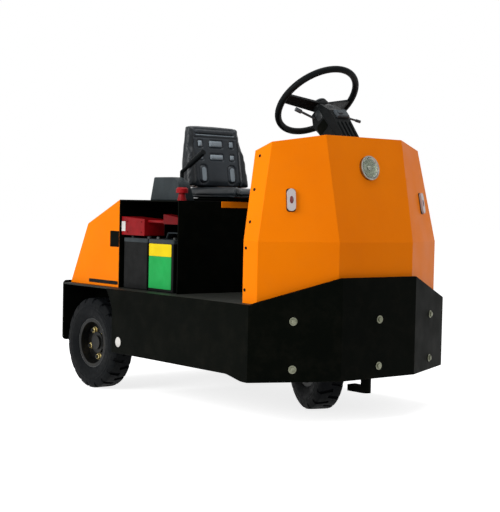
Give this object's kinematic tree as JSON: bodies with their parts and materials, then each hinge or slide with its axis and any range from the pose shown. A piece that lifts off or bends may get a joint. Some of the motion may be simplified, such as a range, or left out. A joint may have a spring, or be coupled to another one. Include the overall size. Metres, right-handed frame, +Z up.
{
  "type": "three-wheel electric airport tow tractor",
  "caption": "Stand-alone electric tow tractor with a faceted front cowl, driver's seat on an open battery bay, a steered front wheel and a rear drop-pin coupling.",
  "frame": {"origin": "on the floor in the middle of the footprint", "axes": "+X to the vehicle's left, +Y to its rear, +Z up"},
  "size_m": [1.1, 1.747, 1.4422],
  "materials": {
    "black_paint": "gloss",
    "orange_paint": "gloss",
    "zinc_steel": "satin",
    "chrome_trim": "polished",
    "lamp_glass": "clear",
    "marker_lens": "gloss",
    "tail_lens": "gloss",
    "black_plastic": "satin",
    "grey_plastic": "satin",
    "rubber_black": "matte",
    "seat_vinyl": "satin",
    "red_plastic": "gloss",
    "battery_case": "satin",
    "cast_grey": "rough",
    "rim_paint": "satin",
    "tyre": "matte"
  },
  "bodies": {
    "chassis": {"floor_plate": "black_paint", "side_plate_left": "black_paint", "side_plate_right": "black_paint", "front_bumper": "black_paint", "rear_bumper": "black_paint", "frame_rails": "black_paint", "front_towing_eye": "black_paint", "rear_coupling": "black_paint", "cowl": "orange_paint", "dash_panel": "black_paint", "headlamp_body": "chrome_trim", "headlamp_lens": "lamp_glass", "marker_lamps": "marker_lens", "tail_lamps": "tail_lens", "steering_column": "black_plastic", "column_switch": "grey_plastic", "pedals": "rubber_black", "seat_box_front": "black_paint", "seat_deck": "black_paint", "bay_rear_wall": "black_paint", "seat_box_strip": "orange_paint", "rear_hood": "orange_paint", "seat_base": "black_paint", "seat_cushion": "seat_vinyl", "seat_backrest": "seat_vinyl", "seat_stay": "black_paint", "side_console": "grey_plastic", "isolator_knob": "red_plastic", "brake_lever": "black_paint", "batteries": "battery_case", "battery_handles": "battery_case", "contactor_box": "red_plastic", "battery_connector": "red_plastic", "battery_cable": "red_plastic", "rear_axle": "cast_grey", "drive_motor": "cast_grey", "steer_bearing": "zinc_steel"},
    "front_fork": {"front_fork": "black_paint", "front_axle_pin": "zinc_steel"},
    "front_wheel": {"front_rim": "rim_paint", "front_tyre": "tyre"},
    "rear_wheel_left": {"rear_rim_left": "rim_paint", "rear_tyre_left": "tyre"},
    "rear_wheel_right": {"rear_rim_right": "rim_paint", "rear_tyre_right": "tyre"},
    "steering_wheel": {"steering_rim": "black_plastic", "steering_hub": "black_plastic"},
    "coupling_pin": {"coupling_pin": "zinc_steel"}
  },
  "joints": [
    {"name": "fork_steer", "type": "hinge", "parent": "chassis", "child": "front_fork", "pos_m": [0, -0.5005, 0.2075], "axis": [0, 0, 1], "range_deg": [-40, 80]},
    {"name": "front_wheel_spin", "type": "hinge", "parent": "front_fork", "child": "front_wheel", "pos_m": [0, -0.5005, 0.2075], "axis": [0.9397, -0.342, 0], "continuous": true},
    {"name": "rear_left_wheel_spin", "type": "hinge", "parent": "chassis", "child": "rear_wheel_left", "pos_m": [0.445, 0.5015, 0.2075], "axis": [1, 0, 0], "continuous": true},
    {"name": "rear_right_wheel_spin", "type": "hinge", "parent": "chassis", "child": "rear_wheel_right", "pos_m": [-0.445, 0.5015, 0.2075], "axis": [1, 0, 0], "continuous": true},
    {"name": "steering_wheel_turn", "type": "hinge", "parent": "chassis", "child": "steering_wheel", "pos_m": [0, -0.4685, 1.305], "axis": [0, 0.6769, 0.7361], "range_deg": [-400, 800]},
    {"name": "coupling_pin_lift", "type": "slide", "parent": "chassis", "child": "coupling_pin", "axis": [0, 0, 1], "range_m": [0, 0.09]}
  ],
  "couplings": [
    {"joint": "steering_wheel_turn", "follows": "fork_steer", "ratio": 10}
  ]
}
